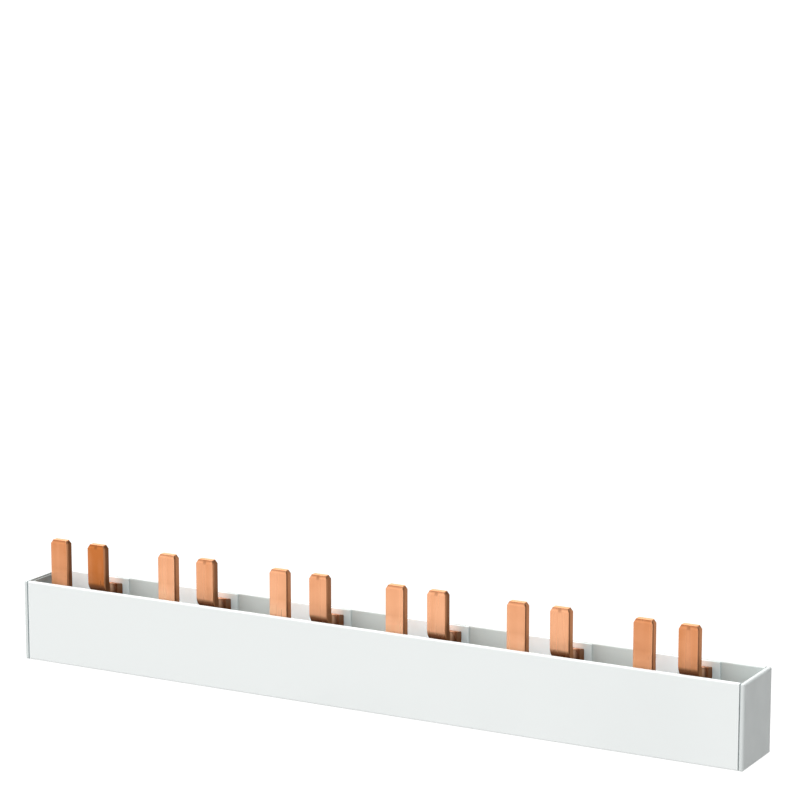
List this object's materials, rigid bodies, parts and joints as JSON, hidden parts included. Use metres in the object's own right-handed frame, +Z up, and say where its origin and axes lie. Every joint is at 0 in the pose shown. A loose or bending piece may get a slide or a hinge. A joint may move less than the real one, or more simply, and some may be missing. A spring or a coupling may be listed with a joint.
{
  "type": "comb busbar",
  "caption": "Comb busbar: an open light-grey insulating trough with end caps and two copper combs whose flat pins stand in pairs in one row above the rim.",
  "frame": {"origin": "centre of the trough's underside, which is the bottom centre of the whole part", "axes": "+X along the trough to the right end cap, +Y from the front wall to the rear wall, +Z up, the way the pins point"},
  "size_m": [0.1634, 0.0138, 0.0251],
  "materials": {
    "trough_plastic": "light-grey rigid plastic profile, satin",
    "cap_plastic": "light-grey moulded plastic, satin",
    "liner_plastic": "white plastic film, matt",
    "copper": "bare stamped copper, lightly brushed"
  },
  "bodies": {
    "root": {"trough": "trough_plastic", "middle_comb": "copper", "rear_comb": "copper", "rear_liner": "liner_plastic", "end_cap_left": "cap_plastic", "end_cap_right": "cap_plastic"}
  },
  "joints": []
}
